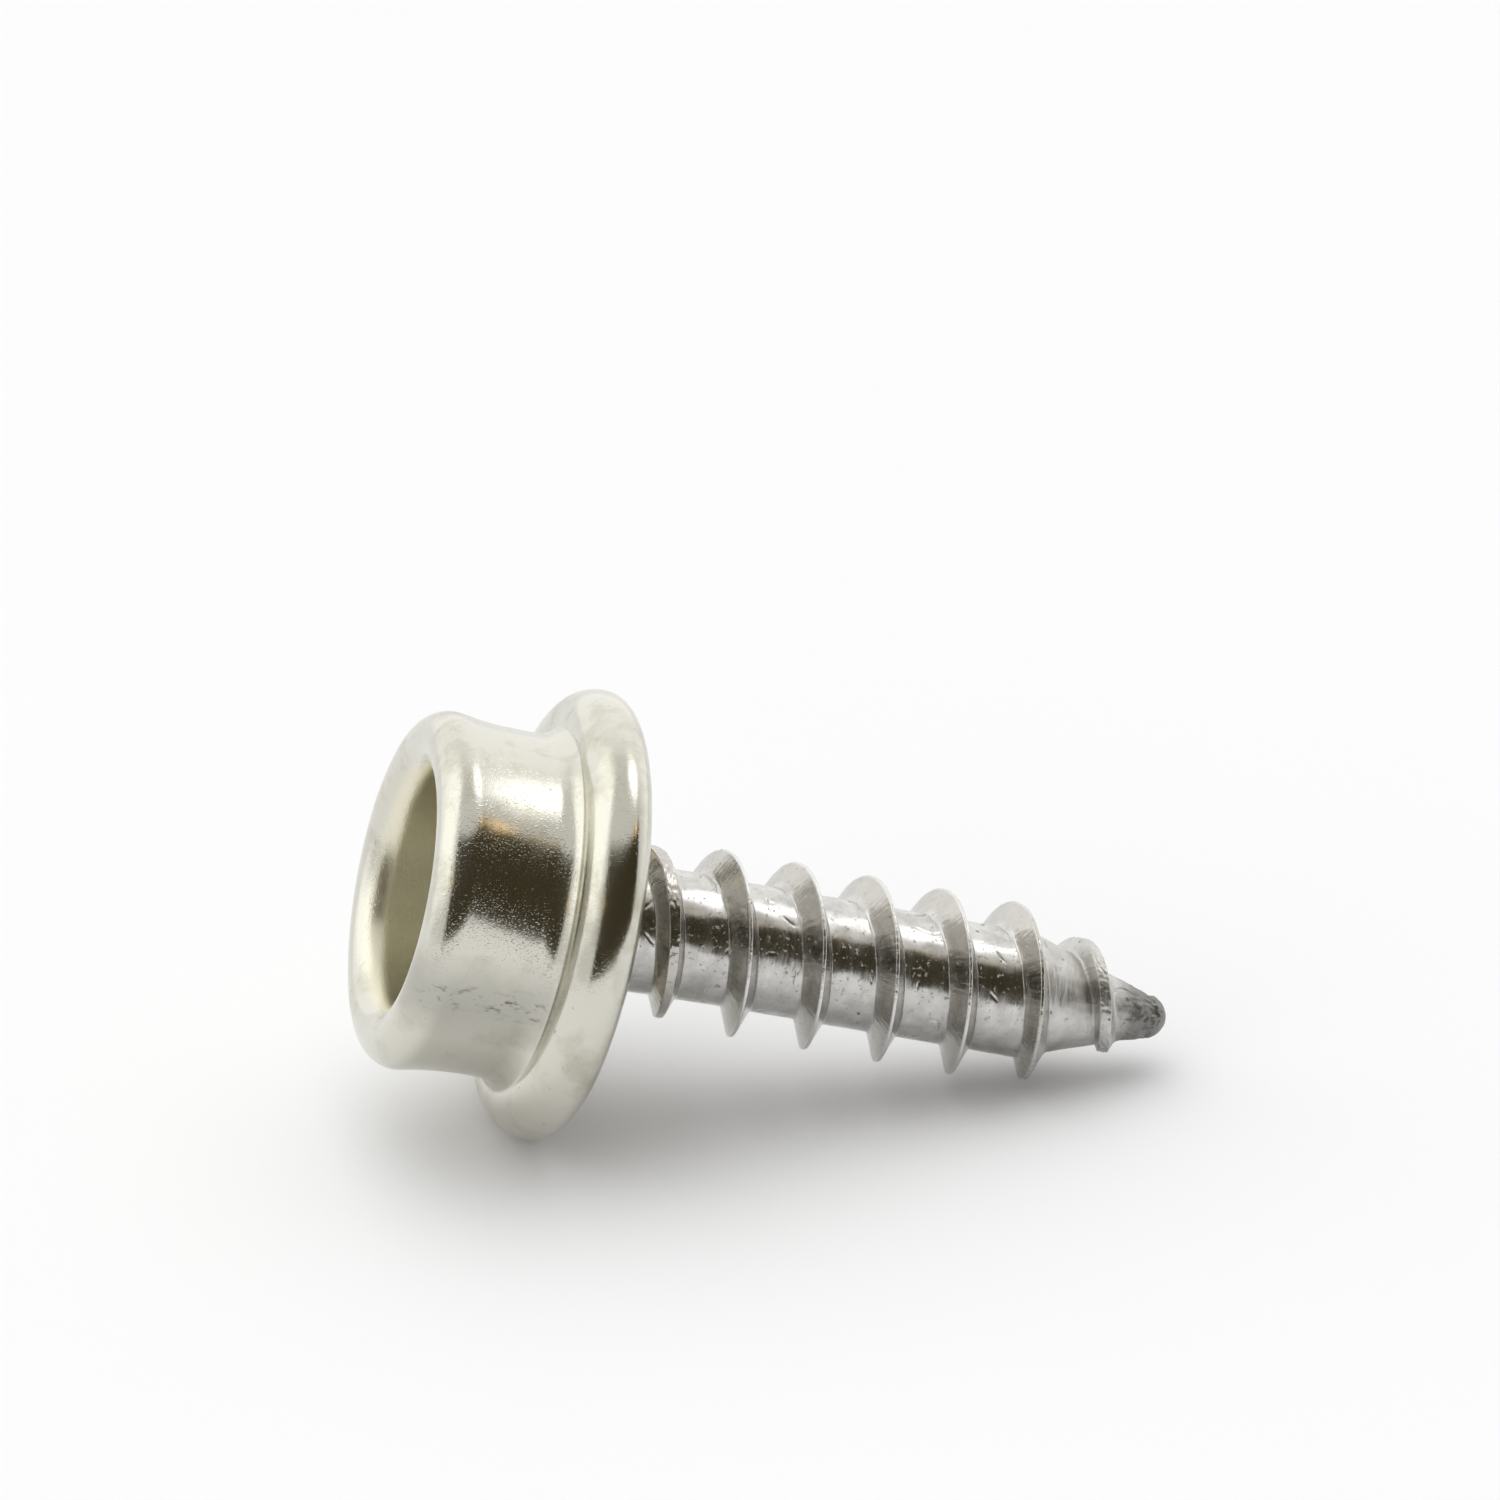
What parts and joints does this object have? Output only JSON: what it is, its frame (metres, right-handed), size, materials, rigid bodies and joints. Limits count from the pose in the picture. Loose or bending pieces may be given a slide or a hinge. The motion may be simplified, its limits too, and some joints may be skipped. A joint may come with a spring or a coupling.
{
  "type": "snap fastener screw stud",
  "caption": "Press-stud screw stud for boat canvas: waisted sheet-metal snap head with a beaded flange, fixed on a coarse self-tapping screw.",
  "frame": {"origin": "centre of the flange's seating plane, on the common axis of stud and screw", "axes": "+Z along the axis out of the stud's open mouth; the screw points along -Z; +X is the side that is uppermost as it lies in the source view"},
  "size_m": [0.012, 0.012, 0.0214],
  "materials": {
    "nickel_plate": "nickel-plated drawn brass, bright with a fine orange-peel grain",
    "washer_plate": "nickel-plated stamped brass",
    "stainless_steel": "rolled stainless steel, satin flanks and a worn tip"
  },
  "bodies": {
    "root": {"stud_shell": "nickel_plate", "base_washer": "washer_plate", "screw": "stainless_steel"}
  },
  "joints": []
}
